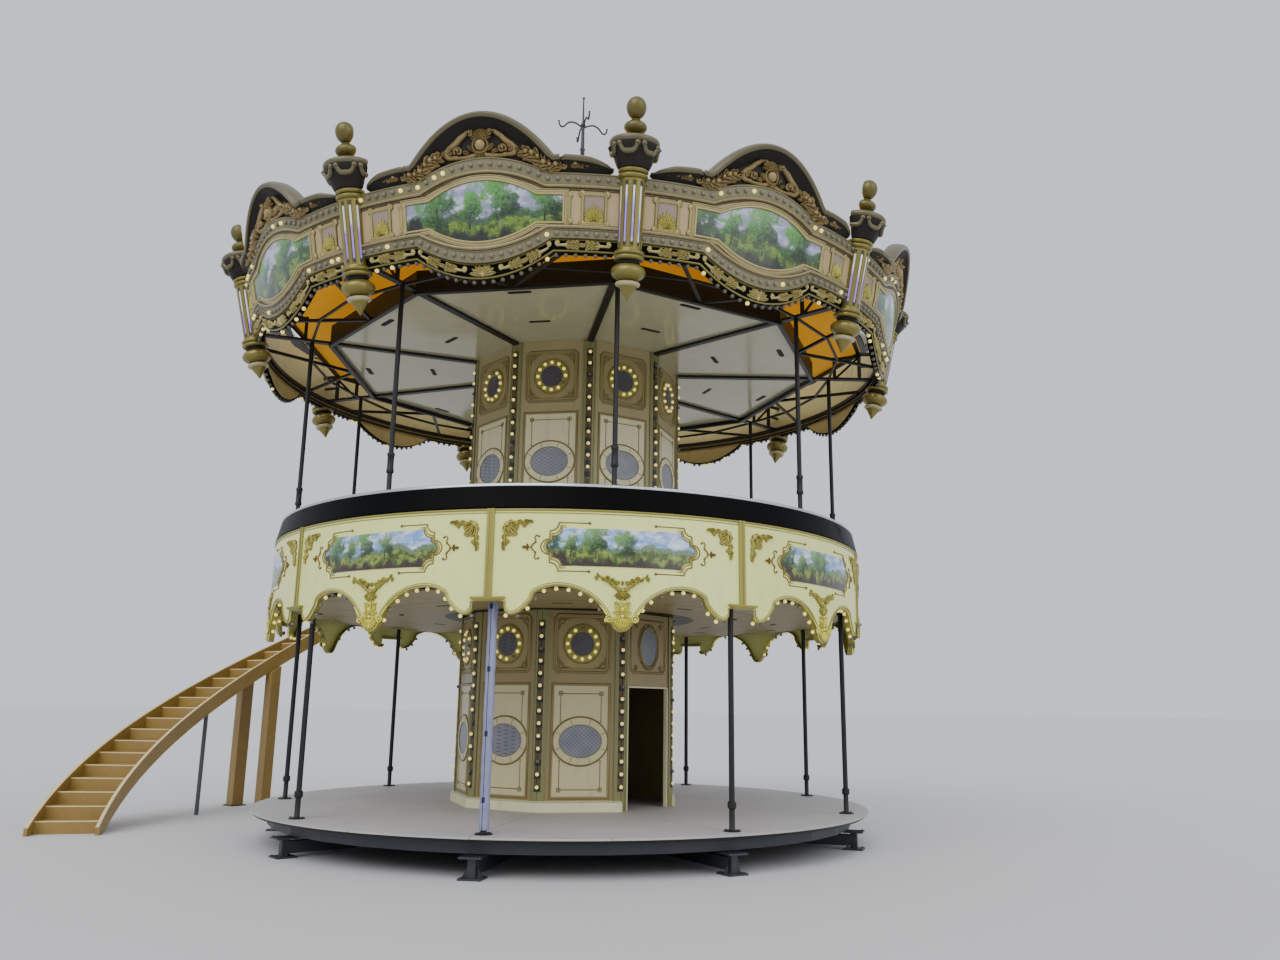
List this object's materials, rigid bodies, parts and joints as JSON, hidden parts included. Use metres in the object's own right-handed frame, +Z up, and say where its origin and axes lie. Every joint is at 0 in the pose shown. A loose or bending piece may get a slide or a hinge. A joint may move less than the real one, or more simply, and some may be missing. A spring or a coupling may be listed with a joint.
{
  "type": "double-deck fairground carousel",
  "caption": "Double-deck round carousel without figures: turning platform, posts, scalloped fascia, upper deck, arched crown boards, cone roof and a curved boarding stair.",
  "frame": {"origin": "on the ground, on the vertical axis that the carousel turns about", "axes": "+Z up; -Y faces the front, where a crown post stands at the middle; the stair is on the -X side"},
  "size_m": [12.8963, 11.6317, 12.25],
  "materials": {
    "cream_fascia": "cream paint with gold lines",
    "core_cream": "cream paint with gold outlines",
    "crown_board": "moulded plastic in gold beige with carved ornament",
    "crown_post": "moulded plastic in cream gold",
    "black_steel": "gloss black paint",
    "frame_iron": "dark worn paint",
    "platform_grey": "light grey floor sheets, dusty",
    "deck_black": "black rim with a bright edge",
    "ceiling_grey": "glossy grey ceiling panels",
    "roof_orange": "orange yellow sheet",
    "stair_brown": "golden brown paint, dusty",
    "gold_trim": "gold paint on carved trim",
    "light_strip": "silver cream strips under the bulbs",
    "bulb_glass": "frosted bulbs, some of them lit",
    "picture_print": null,
    "mirror_film": "mirrors still under blue-grey protective film",
    "post_film": "silver lilac protective film round a post",
    "prop_steel": "weathered grey steel"
  },
  "bodies": {
    "ground_base": {"ground_frame": "frame_iron", "stair_lower_flight": "stair_brown", "stair_upper_flight": "stair_brown", "stair_landing": "stair_brown", "stair_leg_inner": "stair_brown", "stair_leg_outer": "stair_brown", "stair_prop": "prop_steel"},
    "turntable": {"platform_frame": "frame_iron", "platform_deck": "platform_grey", "lower_post_1": "black_steel", "lower_post_2": "black_steel", "lower_post_3": "black_steel", "lower_post_4": "black_steel", "lower_post_5": "black_steel", "lower_post_6": "black_steel", "lower_post_7": "black_steel", "lower_post_8": "black_steel", "lower_post_9": "black_steel", "core_lower_wall": "core_cream", "core_door_wall": "core_cream", "lower_ceiling": "ceiling_grey", "fascia_bay_1": "cream_fascia", "fascia_bay_2": "cream_fascia", "fascia_bay_3": "cream_fascia", "fascia_bay_4": "cream_fascia", "fascia_bay_5": "cream_fascia", "fascia_bay_6": "cream_fascia", "fascia_bay_7": "cream_fascia", "fascia_bay_8": "cream_fascia", "fascia_bay_9": "cream_fascia", "upper_deck": "deck_black", "deck_rim": "deck_black", "core_upper_wall": "core_cream", "upper_frame": "black_steel", "upper_ceiling": "ceiling_grey", "crown_post_1": "crown_post", "crown_post_2": "crown_post", "crown_post_3": "crown_post", "crown_post_4": "crown_post", "crown_post_5": "crown_post", "crown_post_6": "crown_post", "crown_post_7": "crown_post", "crown_post_8": "crown_post", "crown_post_9": "crown_post", "crown_board_1": "crown_board", "crown_board_2": "crown_board", "crown_board_3": "crown_board", "crown_board_4": "crown_board", "crown_board_5": "crown_board", "crown_board_6": "crown_board", "crown_board_7": "crown_board", "crown_board_8": "crown_board", "crown_board_9": "crown_board", "roof": "roof_orange", "roof_mast": "frame_iron"}
  },
  "joints": [
    {"name": "carousel_turn", "type": "hinge", "parent": "ground_base", "child": "turntable", "pos_m": [0, 0, 0.25], "axis": [0, 0, 1], "continuous": true}
  ]
}
